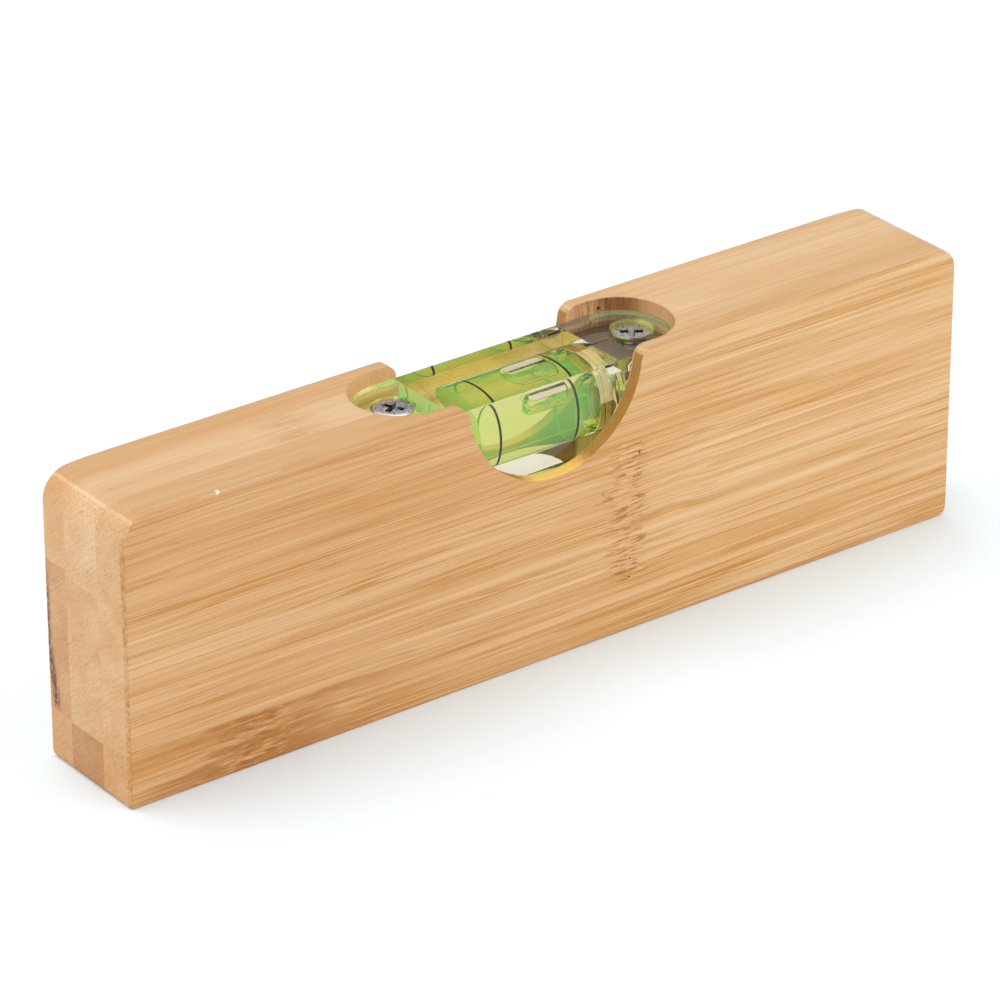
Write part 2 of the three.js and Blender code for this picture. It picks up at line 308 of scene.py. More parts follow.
# Where the cutter's scorching and the other colours of the pocket lie, as pairs and threes again.
RIM_Z = (45.2, 46.4)
RIM_START = (15.5, 18.5)
RIM_FADE = (26.0, 23.0)
STREAK_START = (15.0, 19.0)
BROWN_START = (19.0, 22.5)
FAR_END = (26.8, 24.5)
BARE_Z = (LEDGE_Z, LEDGE_Z + 1.5)
ON_LEDGE = (LEDGE_Z + 0.25, LEDGE_Z + 0.05)
BURNT_LEDGE = (12.0, 15.0)
DEEP_Z = (37.0, 34.0)
BESIDE_BODY = (17.5, 17.2)
BESIDE_PLUG = (11.2, 12.4)
SHADED = (3.5, 7.0)
END_WALL_X = (14.3, 14.8)
END_WALL_Z = (39.5, 38.5)
ON_SEAT = (VIAL_Z[0] + 0.2, VIAL_Z[0])
BELOW_EAR = (42.9, 42.5)
LEFT_EAR = (-15.0, -16.0)
RIGHT_EAR = (25.2, 26.2)
DRILL_X = (20.8, 0.1, 0.3)
DRILL_Z = (43.55, 0.1, 0.3)
DRILL_BACK = (5.0, 6.0)
WINDOW_EDGE = (WINDOW_RADIUS + 0.12, WINDOW_RADIUS + 0.32)
GOLD_Z = (31.6, 30.2)

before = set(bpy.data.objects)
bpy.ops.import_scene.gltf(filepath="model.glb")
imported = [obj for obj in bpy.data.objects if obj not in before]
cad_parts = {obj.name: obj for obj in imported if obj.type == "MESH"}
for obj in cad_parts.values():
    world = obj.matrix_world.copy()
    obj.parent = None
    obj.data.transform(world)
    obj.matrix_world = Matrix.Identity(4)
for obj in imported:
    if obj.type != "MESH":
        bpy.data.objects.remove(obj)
cad_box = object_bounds()


# ---- node helper --------------------------------------------------------------------------------
class Graph:
    """Short spellings for the nodes of one material or world."""

    def __init__(self, name, owners="materials", output="ShaderNodeOutputMaterial"):
        self.owner = getattr(bpy.data, owners).new(name)
        self.owner.use_nodes = True
        self.tree = self.owner.node_tree
        self.tree.nodes.clear()
        self.output = self.tree.nodes.new(output)

    def node(self, kind, **settings):
        made = self.tree.nodes.new(kind)
        for key, value in settings.items():
            setattr(made, key, value)
        return made

    def feed(self, socket, value):
        if isinstance(value, bpy.types.NodeSocket):
            self.tree.links.new(value, socket)
        elif value is not None:
            socket.default_value = value

    def math(self, operation, a, b=None):
        made = self.node("ShaderNodeMath", operation=operation)
        for socket, value in zip(made.inputs, (a, b)):
            self.feed(socket, value)
        return made.outputs[0]

    def chain(self, operation, first, others):
        for other in others:
            first = self.math(operation, first, other)
        return first

    def add(self, first, *others):
        return self.chain("ADD", first, others)

    def times(self, first, *others):
        return self.chain("MULTIPLY", first, others)

    def largest(self, first, *others):
        return self.chain("MAXIMUM", first, others)

    def minus(self, a, b):
        return self.math("SUBTRACT", a, b)

    def absolute(self, value):
        return self.math("ABSOLUTE", value)

    def length(self, a, b):
        return self.math("SQRT", self.add(self.times(a, a), self.times(b, b)))

    def ramp(self, value, low, high, start=0.0, end=1.0):
        """start below low, end above high, and a smooth step between them."""
        made = self.node("ShaderNodeMapRange", interpolation_type="SMOOTHSTEP")
        for socket, given in zip(made.inputs, (value, low, high, start, end)):
            self.feed(socket, given)
        return made.outputs[0]

    def near(self, value, middle, half_width, soft):
        """1 where value lies within half_width of middle, falling to 0 over soft."""
        distance = self.absolute(self.minus(value, middle))
        return self.ramp(distance, half_width, half_width + soft, 1.0, 0.0)

    def ridge(self, value, level, half_width):
        """1 where value is close to a level: thin lines, as its contours are."""
        return self.near(value, level, 0.0, half_width)

    def ridges(self, value, levels, half_width):
        return self.largest(*[self.ridge(value, level, half_width) for level in levels])

    def centred(self, noise, size):
        """Noise, which lies round 0.5, moved to lie round 0, and made this much larger."""
        return self.times(self.minus(noise, 0.5), size)

    def parts(self, vector):
        split = self.node("ShaderNodeSeparateXYZ")
        self.feed(split.inputs[0], vector)
        return split.outputs

    def place(self):
        """x, y and z of the surface point in millimetres."""
        coordinates = self.node("ShaderNodeTexCoord")
        scaled = self.node("ShaderNodeVectorMath", operation="SCALE")
        self.feed(scaled.inputs[0], coordinates.outputs["Object"])
        self.feed(scaled.inputs["Scale"], 1 / MM)
        return self.parts(scaled.outputs[0])

    def normal(self):
        return self.parts(self.node("ShaderNodeNewGeometry").outputs["True Normal"])

    def noise(self, place, scales, detail=2.0, roughness=0.5, start=0.0):
        """Noise of a place, scaled along each axis; start moves it along the third."""
        x, y, z = [self.times(value, scale) for value, scale in zip(place, scales)]
        vector = self.node("ShaderNodeCombineXYZ")
        for socket, value in zip(vector.inputs, (x, y, self.add(z, start))):
            self.feed(socket, value)
        made = self.node("ShaderNodeTexNoise")
        self.feed(made.inputs["Vector"], vector.outputs[0])
        self.feed(made.inputs["Scale"], 1.0)
        self.feed(made.inputs["Detail"], detail)
        self.feed(made.inputs["Roughness"], roughness)
        return made.outputs["Fac"]

    def mix(self, factor, a, b, blend="MIX"):
        made = self.node("ShaderNodeMix", data_type="RGBA", blend_type=blend)
        colours = [s for s in made.inputs if s.type == "RGBA"]
        self.feed(made.inputs["Factor"], factor)
        self.feed(colours[0], a)
        self.feed(colours[1], b)
        return [s for s in made.outputs if s.type == "RGBA"][0]

    def paint(self, colour, paint, *amounts):
        """colour, with paint over it as thick as the amounts multiplied together."""
        return self.mix(self.times(*amounts), colour, paint)

    def bump(self, height, distance, strength):
        made = self.node("ShaderNodeBump")
        self.feed(made.inputs["Distance"], distance)
        self.feed(made.inputs["Strength"], strength)
        self.feed(made.inputs["Height"], height)
        return made.outputs[0]

    def principled(self, **inputs):
        made = self.node("ShaderNodeBsdfPrincipled")
        for key, value in inputs.items():
            self.feed(made.inputs[key.replace("_", " ")], value)
        return made

    def finish(self, shader, socket="Surface"):
        self.tree.links.new(shader.outputs[0], self.output.inputs[socket])
        return self.owner


# ---- bamboo -------------------------------------------------------------------------------------
# Numbers given to ramp() and ridge() along with a noise are levels of it, and noise lies between
# about 0.2 and 0.8. A last number given to paint() is the strength of that layer.
def bamboo(name, seed, tint, line_strength, growth_nodes):
    """The wood of one strip: fibres along x, dots on the ends, growth nodes and tool marks."""
    g = Graph(name)
    place = x, y, z = g.place()
    normal = g.normal()
    upright = g.absolute(normal[2])

    # The fibres' own coordinates, which drift and waver.
    shift = g.centred(g.noise(place, (0.010, 0.03, 0.05), start=seed), DRIFT)
    if growth_nodes:
        flecked, smeared, wavering = growth_bands(g, place, seed, growth_nodes)
        ripple = g.noise(place, (0.06, 0.1, 0.13), 2.0, 0.45, start=seed)
        shift = g.add(shift, g.times(g.centred(ripple, WAVER), wavering))
    along = g.add(x, seed * 7.0)
    across = g.add(z, shift, seed * 3.0)
    depth = g.add(y, g.times(shift, 0.4), seed)
    fibre = {
        kind: g.noise((along, depth, across), (slow, fast, fast), detail, roughness)
        for kind, (slow, fast, detail, roughness) in FIBRES.items()
    }
    fine = fibre["fine"]
    end_on = g.add(g.absolute(normal[0]), g.centred(fine, 0.35))
    end_grain = g.ramp(end_on, 0.50, 0.56)

    colour = fibre_colour(g, fibre, g.minus(1.0, end_grain), upright, line_strength)
    colour = specks(g, place, colour)
    colour = end_marks(g, seed, place, fine, end_grain, colour)
    frayed = g.times(g.ridge(end_on, 0.56, 0.09), g.ramp(upright, 0.3, 0.5))
    colour = g.paint(colour, BAMBOO_CREAM, frayed, 0.6)
    if growth_nodes:
        colour = growth_marks(g, seed, place, (x, y, across), flecked, smeared, colour)
    colour = special_marks(g, name, place, colour)
    # Painted light: the wood lighter to the right, and its top tinted as it is lit.
    colour = g.mix(1.0, colour, painted_light_tone(g, x, upright, end_grain), blend="MULTIPLY")
    colour = g.mix(1.0, colour, rgb(*tint), blend="MULTIPLY")
    colour, gouges = machined(g, place, normal, colour)

    relief = g.minus(g.add(g.times(fine, 0.6), g.times(fibre["hair"], 0.5)), g.times(gouges, 2.5))
    return g.finish(g.principled(
        Base_Color=colour,
        Roughness=g.add(0.52, g.centred(fine, 0.3)),
        Normal=g.bump(relief, BAMBOO_RELIEF, 0.6),
        Specular_IOR_Level=0.4,
    ))


def growth_bands(g, place, seed, growth_nodes):
    """A narrow band of flecks, brown smears beside it, and the fibres that waver to its right."""
    x, y, z = place
    wobble = g.noise((seed, y, z), (1.0, 0.3, 0.35), 3.0)
    wobbled_x = g.add(x, g.centred(wobble, NODE_WOBBLE))
    flecked, smeared, wavering = [], [], []
    for middle, half_width, strength, smear, reach in growth_nodes:
        band = g.near(wobbled_x, middle, half_width * 0.5, half_width * 0.8)
        flecked.append(g.times(band, strength))
        smeared.append(g.times(g.near(wobbled_x, middle, half_width * 0.3, reach), smear))
        beside = g.near(x, middle + WAVER_OFFSET, half_width, WAVER_FADE)
        wavering.append(g.times(beside, strength))
    return [g.largest(*bands) for bands in (flecked, smeared, wavering)]


def fibre_colour(g, fibre, side_grain, upright, line_strength):
    """Bands, veins, threads and hairs along the wood, the broad ones fainter on the top edge."""
    coarse, medium, fine = [fibre[kind] for kind in ("coarse", "medium", "fine")]
    narrow = g.times(side_grain, g.ramp(upright, *LYING, line_strength, 0.6 * line_strength))
    broad = g.times(side_grain, g.ramp(upright, *LYING, line_strength, 0.3 * line_strength))
    fading = g.ramp(fibre["fading"], 0.38, 0.62, 0.25, 1.0)
    half_faded = g.ramp(fading, 0.25, 1.0, 0.5, 1.0)

    colour = g.mix(g.ramp(fibre["cloud"], 0.34, 0.66), BAMBOO_PALE, BAMBOO_HONEY)
    colour = g.paint(colour, BAMBOO_CREAM, g.ramp(medium, 0.50, 0.36), broad, 0.42)
    colour = g.paint(colour, BAMBOO_ORANGE, g.ridge(coarse, 0.53, 0.055), broad, 0.40)
    colour = g.paint(colour, BAMBOO_ORANGE, g.ramp(medium, 0.56, 0.74), broad, 0.55)
    veins = g.largest(g.ridge(coarse, 0.52, 0.012), g.ridge(medium, 0.60, 0.02))
    colour = g.paint(colour, BAMBOO_LINE, veins, fading, broad, 0.55)
    threads = g.ridges(fibre["thread"], THREAD_LEVELS, 0.023)
    colour = g.paint(colour, BAMBOO_THREAD, threads, half_faded, narrow, 0.96)
    fine_threads = g.ridges(fibre["fine_thread"], FINE_THREAD_LEVELS, 0.035)
    colour = g.paint(colour, BAMBOO_THREAD, fine_threads, fading, narrow, 0.42)
    colour = g.paint(colour, BAMBOO_CREAM, g.ramp(fine, 0.44, 0.28), narrow, 0.40)
    colour = g.paint(colour, BAMBOO_LINE, g.ramp(fine, 0.55, 0.78), narrow, 0.34)
    return g.paint(colour, BAMBOO_LINE, g.ramp(fibre["hair"], 0.5, 0.8), 0.14)


def specks(g, place, colour):
    """Dark and pale specks that sanding leaves."""
    sanded = g.noise(place, (3.5, 5.0, 5.0), 2.0, 0.7)
    colour = g.paint(colour, BAMBOO_LINE, g.ramp(sanded, 0.50, 0.70), 0.16)
    return g.paint(colour, BAMBOO_CREAM, g.ramp(sanded, 0.50, 0.30), 0.16)


def end_marks(g, seed, place, fine, end_grain, colour):
    """Dots of fibre bundles on the ends, under faint slanting saw marks."""
    _, y, z = place
    slant = g.add(g.times(y, 0.75), z)
    saw = g.noise((slant, g.minus(y, z), seed), (2.2, 0.18, 1.0))
    dots = g.times(g.ramp(fine, 0.45, 0.72), 0.42)
    marks = g.add(dots, g.times(g.ramp(saw, 0.45, 0.7), 0.20))
    return g.paint(colour, BAMBOO_LINE, marks, end_grain)


# Painted light: a gradient along x, and the top faces tinted apart from the sides and ends.
def painted_light_tone(g, x, upright, end_grain):
    sides = g.mix(g.ramp(x, *PAINTED_LIGHT_SPAN), PAINTED_LIGHT_LEFT, PAINTED_LIGHT_RIGHT)
    top = g.mix(g.ramp(x, *PAINTED_LIGHT_SPAN), PAINTED_LIGHT_TOP_LEFT, PAINTED_LIGHT_TOP_RIGHT)
    return g.mix(end_grain, g.mix(g.ramp(upright, *LYING), sides, top), PAINTED_LIGHT_ENDS)


def growth_marks(g, seed, place, fine_place, flecked, smeared, colour):
    """A growth node: brown smears along the fibres, short red and pale strokes, a few pores."""
    smears = g.noise(fine_place, (0.05, 0.4, 0.42), 3.0, 0.6, start=seed)
    colour = g.paint(colour, BAMBOO_SMEAR, g.ramp(smears, 0.44, 0.56), smeared, 0.9)
    strokes = g.noise(fine_place, (0.30, 2.2, 2.5), 2.0, 0.55)
    colour = g.paint(colour, BAMBOO_ORANGE, flecked, 0.16)
    colour = g.paint(colour, BAMBOO_CREAM, g.ramp(strokes, 0.43, 0.36), flecked, 0.45)
    colour = g.paint(colour, BAMBOO_NODE, g.ramp(strokes, 0.54, 0.60), flecked, 0.9)
    pores = g.noise(place, (0.9, 1.1, 1.0), 1.0, start=seed)
    return g.paint(colour, BAMBOO_PORE, g.ramp(pores, 0.715, 0.745), flecked)


def special_marks(g, name, place, colour):
    """Marks that only some strips have: bark left on a corner, a dark edge at the end, a chip, and
    a painted highlight along the top front edge beside it.
    """
    x, y, z = place
    speck = g.noise(place, (1.2, 1.6, 1.1), 3.0, 0.6)
    if name == "rear_ply_middle_strip":
        bark = g.near(y, g.ramp(z, *BARK_EDGE), *BARK_WIDTH)
        bark = g.times(bark, g.ramp(z, *BARK_FOOT), g.ramp(z, *BARK_TOP), g.ramp(x, *BARK_END))
        colour = g.paint(colour, BAMBOO_BARK, bark, g.ramp(speck, 0.32, 0.55))
    if name.startswith("front_ply"):
        corner = g.times(g.ramp(x, *CORNER_END), g.ramp(y, *CORNER_FRONT))
        colour = g.paint(colour, BAMBOO_NODE, corner, g.ramp(speck, 0.45, 0.65, 0.15, 0.7))
    if name == "front_ply_upper_strip":
        chip = g.times(g.near(x, *CHIP_X), g.ramp(z, *CHIP_TOP), g.ramp(y, *CHIP_FRONT))
        # crest: a painted highlight along the top front edge, beside the chip.
        crest = g.times(g.near(x, *EDGE_HIGHLIGHT_X), g.near(z, *EDGE_HIGHLIGHT_TOP), g.ramp(y, *EDGE_HIGHLIGHT_FRONT))
        crest = g.times(crest, EDGE_HIGHLIGHT_STRENGTH)
        colour = g.paint(colour, BAMBOO_CHIP_AND_HIGHLIGHT, g.largest(chip, crest))
    return colour


def machined(g, place, normal, colour):
    """Cut surfaces of the pocket and window, how rough the cutter left them, and painted light and
    shade on them.
    """
    x, y, z = place
    left_end, right_end = POCKET_ENDS
    beyond = g.largest(g.minus(x, right_end), g.minus(left_end, x), 0.0)
    pocket = g.ramp(g.length(beyond, y), POCKET_RADIUS - 0.05, POCKET_RADIUS + 0.1, 1.0, 0.0)
    steep = g.ramp(g.absolute(normal[2]), *STEEP)
    tooth = g.noise(place, (2.2, 2.2, 0.35), 3.0)

    # The upper walls are painted pale, painted light that lifts their shade; at the right-hand end
    # they are browned, and burnt in streaks and along the rim.
    far_end = g.ramp(x, *FAR_END, 0.1, 1.0)
    browned = g.times(g.ramp(x, *BROWN_START, 0.10, 1.0), far_end)
    bare = g.ramp(z, *BARE_Z, 0.0, 0.9)
    colour = g.paint(colour, g.mix(browned, UPPER_WALL_PAINTED_LIGHT, WALL_BROWN), pocket, steep, bare)
    rim = g.times(g.ramp(g.add(z, g.times(tooth, 3.0)), *RIM_Z), g.ramp(x, *RIM_START))
    rim = g.times(rim, g.ramp(x, *RIM_FADE, 0.25, 1.0))
    streaks = g.times(g.ramp(tooth, 0.62, 0.42), g.ramp(x, *STREAK_START, 0.1, 0.60), far_end)
    burnt = g.math("MINIMUM", g.add(streaks, g.times(rim, 0.20)), 1.0)
    scorched = g.mix(g.ramp(tooth, 0.25, 0.50), BAMBOO_BURNT, BAMBOO_SCORCH)

    # The ledge under the right ear is darkened too.
    on_ledge = g.ramp(z, *ON_LEDGE)
    right_ledge = g.times(on_ledge, g.ramp(x, *BURNT_LEDGE))
    darkening = g.largest(burnt, g.times(right_ledge, 0.93))
    colour = g.paint(colour, g.mix(right_ledge, scorched, BAMBOO_BURNT), pocket, darkening)

    # Walls and floor round the vial's body: painted shade towards the plug, painted light beside it
    # and on the end wall, and painted light on the floor the vial sits on.
    deep = g.times(pocket, g.ramp(z, *DEEP_Z), g.ramp(g.absolute(x), *BESIDE_BODY))
    beside_plug = g.ramp(x, *BESIDE_PLUG)
    shaded = g.times(g.ramp(x, *SHADED, 0.0, 0.78), g.minus(1.0, beside_plug))
    colour = g.paint(colour, DEEP_WALL_PAINTED_SHADE, deep, shaded)
    colour = g.paint(colour, END_WALL_PAINTED_LIGHT, deep, beside_plug, 0.9)
    end_wall = g.times(pocket, g.ramp(x, *END_WALL_X), g.ramp(z, *END_WALL_Z))
    colour = g.paint(colour, END_WALL_PAINTED_LIGHT, end_wall, g.ramp(g.absolute(normal[0]), 0.4, 0.8), 0.9)
    colour = g.paint(colour, SEAT_FLOOR_PAINTED_LIGHT, pocket, g.ramp(z, *ON_SEAT), 0.9)

    # Painted light, the vial's yellow-green light, on the walls beside the ears and on the ledge
    # under the left one; and a stray drill mark.
    left_side = g.ramp(x, *LEFT_EAR)
    beside_ear = g.largest(left_side, g.ramp(x, *RIGHT_EAR))
    colour = g.paint(colour, EAR_WALL_PAINTED_LIGHT, pocket, g.ramp(z, *BELOW_EAR), beside_ear, steep, 0.85)
    colour = g.paint(colour, LEFT_LEDGE_PAINTED_LIGHT, pocket, on_ledge, left_side, 0.85)
    hole = g.times(g.near(x, *DRILL_X), g.near(z, *DRILL_Z), g.ramp(y, *DRILL_BACK))
    colour = g.paint(colour, BAMBOO_PORE, pocket, hole)

    # The cut face of the window: scorched with painted shade higher up, and a painted gold light
    # lower down.
    radius = g.length(g.minus(x, WINDOW_X), g.minus(z, WINDOW_Z))
    window = g.times(g.ramp(radius, *WINDOW_EDGE, 1.0, 0.0), g.minus(1.0, pocket))
    window = g.times(window, g.ramp(g.absolute(normal[1]), 0.95, 0.8))
    cut = g.mix(g.ramp(g.add(z, tooth), *GOLD_Z), CUT_SCORCH_AND_SHADE, CUT_GOLD_PAINTED_LIGHT)
    colour = g.paint(colour, cut, window, g.ramp(tooth, 0.3, 0.7, 0.80, 0.98))
    return colour, g.times(tooth, g.largest(pocket, window))


# ---- shapes -------------------------------------------------------------------------------------
def on_joint(edge, planes):
    """True if the edge lies in one of the glued planes, given as (axis, position)."""
    return any(all(abs(v.co[axis] - at) < SAME_PLACE for v in edge.verts) for axis, at in planes)


def on_outside(axis, at):
    """True if a plane is one of the whole block's faces."""
    low, high = cad_box
    return abs(at - low[axis]) < 10 * SAME_PLACE or abs(at - high[axis]) < 10 * SAME_PLACE


def is_outer(edge):
    """True near the block's ends and along its underside, and false where the pocket was cut."""
    at_end = [abs(abs(v.co.x) - BLOCK_END * MM) < END_ZONE * MM for v in edge.verts]
    below = [abs(v.co.z) < SAME_PLACE for v in edge.verts]
    away = [abs(v.co.x) > CUT_ZONE * MM for v in edge.verts]
    return all(end or low for end, low in zip(at_end, below)) or all(away)


def corners(bm, least_angle=40):
    """The edges that stand out, sharper than an angle in degrees."""
    return [edge for edge in bm.edges if len(edge.link_faces) == 2 and edge.is_convex
            and edge.calc_face_angle(0) >= math.radians(least_angle)]


def soften(bm, edges, offset, segments):
    bmesh.ops.bevel(bm, geom=edges, offset=offset * MM, offset_type="OFFSET", segments=segments,
                    profile=0.5, affect="EDGES", clamp_overlap=True)


def simplify(bm, angle):
    bmesh.ops.dissolve_limit(bm, angle_limit=math.radians(angle), verts=bm.verts, edges=bm.edges)


def finished(name, bm, materials, smooth_angle):
    """The bmesh as a shown object, smooth below an angle."""
    mesh = bpy.data.meshes.new(name)
    bm.to_mesh(mesh)
    bm.free()
    for material in materials:
        mesh.materials.append(material)
    piece = bpy.data.objects.new(name, mesh)
    bpy.context.scene.collection.objects.link(piece)
    mesh.shade_smooth()
    mesh.set_sharp_from_angle(angle=math.radians(smooth_angle))
    for face in mesh.polygons:
        face.use_smooth = face.area < LARGE_FACE
    flat_faces = piece.modifiers.new("flat_faces_stay_flat", "WEIGHTED_NORMAL")
    flat_faces.weight = 100
    flat_faces.keep_sharp = True
    return piece


def in_metres(bm):
    """A shape built in millimetres, scaled and with its faces turned outwards."""
    bmesh.ops.recalc_face_normals(bm, faces=bm.faces)
    bm.transform(Matrix.Scale(MM, 4))
    return bm


def circle(bm, radius, z, steps, x=0.0):
    """Vertices round the z axis, or round a line beside it."""
    angles = [2 * math.pi * i / steps for i in range(steps)]
    return [bm.verts.new((x + radius * math.cos(a), radius * math.sin(a), z)) for a in angles]


def skin(bm, low, high):
    """Faces between two loops, or between a loop and a single point."""
    steps = max(len(low), len(high))
    for i in range(steps):
        j = (i + 1) % steps
        ring = [low[i % len(low)], low[j % len(low)], high[j % len(high)], high[i % len(high)]]
        bm.faces.new(list(dict.fromkeys(ring)))


def turned(profile, steps, middle=(0, 0, 0), along_x=False):
    """A closed solid from (radius, distance) pairs, turned about z or x."""
    bm = bmesh.new()
    loops = [
        circle(bm, radius, distance, steps) if radius else [bm.verts.new((0, 0, distance))]
        for radius, distance in profile
    ]
    for low, high in zip(loops, loops[1:]):
        skin(bm, low, high)
    if profile[0][0] != 0:
        skin(bm, loops[-1], loops[0])
    if along_x:
        bm.transform(Matrix.Rotation(math.pi / 2, 4, "Y"))
    bm.transform(Matrix.Translation(middle))
    return in_metres(bm)


def prism(outline, z0, z1):
    bm = bmesh.new()
    low = [bm.verts.new((x, y, z0)) for x, y in outline]
    high = [bm.verts.new((x, y, z1)) for x, y in outline]
    bm.faces.new(list(reversed(low)))
    bm.faces.new(high)
    skin(bm, low, high)
    return in_metres(bm)


def arc(x, y, radius, start, end, steps):
    angles = [math.radians(start + (end - start) * i / steps) for i in range(steps + 1)]
    return [(x + radius * math.cos(a), y + radius * math.sin(a)) for a in angles]


def combined(operation, base, tools):
    """A bmesh joined with or cut by others, by exact booleans."""
    made = []
    for n, shape in enumerate([base, *tools]):
        mesh = bpy.data.meshes.new(f"boolean_{n}")
        shape.to_mesh(mesh)
        shape.free()
        holder = bpy.data.objects.new(f"boolean_{n}", mesh)
        bpy.context.scene.collection.objects.link(holder)
        made.append(holder)
    for tool in made[1:]:
        step = made[0].modifiers.new(operation, "BOOLEAN")
        step.operation = operation
        step.solver = "EXACT"
        step.object = tool
    bpy.context.view_layer.update()
    evaluated = made[0].evaluated_get(bpy.context.evaluated_depsgraph_get())
    result = bpy.data.meshes.new_from_object(evaluated)
    out = bmesh.new()
    out.from_mesh(result)
    for holder in made:
        mesh = holder.data
        bpy.data.objects.remove(holder)
        bpy.data.meshes.remove(mesh)
    bpy.data.meshes.remove(result)
    return out


# ---- block --------------------------------------------------------------------------------------
def rounded_strip(node, planes, material):
    """A fine copy of a CAD strip: edges rounded over, apart from those in its glue joints."""
    bm = bmesh.new()
    bm.from_mesh(node.data)
    bmesh.ops.remove_doubles(bm, verts=bm.verts, dist=2 * SAME_PLACE)
    simplify(bm, DISSOLVE_BLOCK)
    groups = {OUTER_ROUNDING: [], CUT_ROUNDING: []}
    for edge in corners(bm):
        if not on_joint(edge, planes):
            groups[OUTER_ROUNDING if is_outer(edge) else CUT_ROUNDING].append(edge)
    for offset, edges in groups.items():
        soften(bm, [edge for edge in edges if edge.is_valid], offset, ROUNDING_STEPS)
    bmesh.ops.remove_doubles(bm, verts=bm.verts, dist=SAME_PLACE)
    return finished(node.name + "_fine", bm, [material], SMOOTH_BLOCK)


def build_bamboo():
    materials = {name: bamboo(name, *look) for name, look in STRIPS.items()}
    for name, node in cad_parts.items():
        if "_ply_" not in name:
            continue
        strip = name.removesuffix("_left").removesuffix("_right")
        low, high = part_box(name)
        planes = [(1, low.y), (1, high.y), (2, low.z), (2, high.z)]
        planes = [(axis, at) for axis, at in planes if not on_outside(axis, at)]
        piece = rounded_strip(node, planes, materials[strip])
        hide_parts(name)
        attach(piece, ROOT_BODY)


# ---- vial ---------------------------------------------------------------------------------------
def clear_shader(g, tint, ior, shadow_tint, roughness=0.0, glow=None):
    """Refracting plastic or liquid that lets lamps shine through to what is behind it."""
    glass = g.principled(Base_Color=tint, Roughness=roughness, IOR=ior, Transmission_Weight=1.0)
    if glow:
        g.feed(glass.inputs["Emission Color"], glow[0])
        g.feed(glass.inputs["Emission Strength"], glow[1])
    lamp = g.node("ShaderNodeBsdfTransparent")
    g.feed(lamp.inputs["Color"], shadow_tint)
    ray = g.node("ShaderNodeLightPath")
    mixed = g.node("ShaderNodeMixShader")
    g.feed(mixed.inputs[0], ray.outputs["Is Shadow Ray"])
    g.feed(mixed.inputs[1], glass.outputs[0])
    g.feed(mixed.inputs[2], lamp.outputs[0])
    return mixed


def acrylic(name, ior, glow=None):
    g = Graph(name)
    haze = g.noise(g.place(), (0.9, 0.9, 0.9), 4.0, 0.6)
    roughness = g.ramp(haze, 0.55, 0.8, 0.0, CLEAR_HAZE)
    return g.finish(clear_shader(g, CLEAR_TINT, ior, CLEAR_SHADOW, roughness, glow))


def spirit(name, surface_glow):
    """Dyed spirit: amber where light comes through it, with a painted green glow all through it and
    on its surface.
    """
    g = Graph(name)
    swirl = g.noise(g.place(), (0.25, 0.25, 0.25))
    soak = g.node("ShaderNodeVolumeAbsorption")
    g.feed(soak.inputs["Color"], SPIRIT_ABSORPTION)
    g.feed(soak.inputs["Density"], SPIRIT_DENSITY)
    shine = g.node("ShaderNodeEmission")
    g.feed(shine.inputs["Color"], SPIRIT_GLOW)
    g.feed(shine.inputs["Strength"], SPIRIT_DEPTH_GLOW)
    both = g.node("ShaderNodeAddShader")
    g.feed(both.inputs[0], soak.outputs[0])
    g.feed(both.inputs[1], shine.outputs[0])
    g.finish(both, "Volume")
    # The plastic's wetted faces do the bending, so the liquid's own surface has an index of 1.
    return g.finish(clear_shader(g, g.mix(swirl, *SPIRIT_TINTS), 1.0, SPIRIT_SHADOW,
                                 glow=(SPIRIT_GLOW, surface_glow)))


def air():
    g = Graph("bubble_air")
    ripple = g.noise(g.place(), (0.4, 0.4, 0.4), 1.0)
    return g.finish(clear_shader(g, g.mix(ripple, *AIR_TINTS), IOR_BUBBLE, AIR_SHADOW))


def from_bore(centre):
    """How far a place is from the middle line of the bore, in millimetres."""
    return math.hypot(centre.y / MM, centre.z / MM - BORE_Z)


def in_screw_hole(centre):
    x, y = centre.x / MM, centre.y / MM
    return any(math.hypot(x - hole, y) <= EAR_HOLE_ZONE for hole, _, _ in SCREWS.values())


def vial_face(face):
    """The number of a face's material: 1 in the wetted bore, 2 on edges that light leaves by, which
    get a painted green glow.
    """
    centre = face.calc_center_median()
    x, z = centre.x / MM, centre.z / MM
    if BORE_X[0] - 0.1 < x < PLUG_START and from_bore(centre) < BORE_RADIUS + 0.02:
        return 1
    on_ear = x < BODY_X[0] - 1 or x > BODY_X[1] + 1
    rim = on_ear and abs(face.normal.z) < 0.1 and not in_screw_hole(centre)
    flank = abs(x - BODY_X[0]) < 0.02 and z < VIAL_Z[1] - EAR_THICKNESS
    return 2 if rim or flank else 0


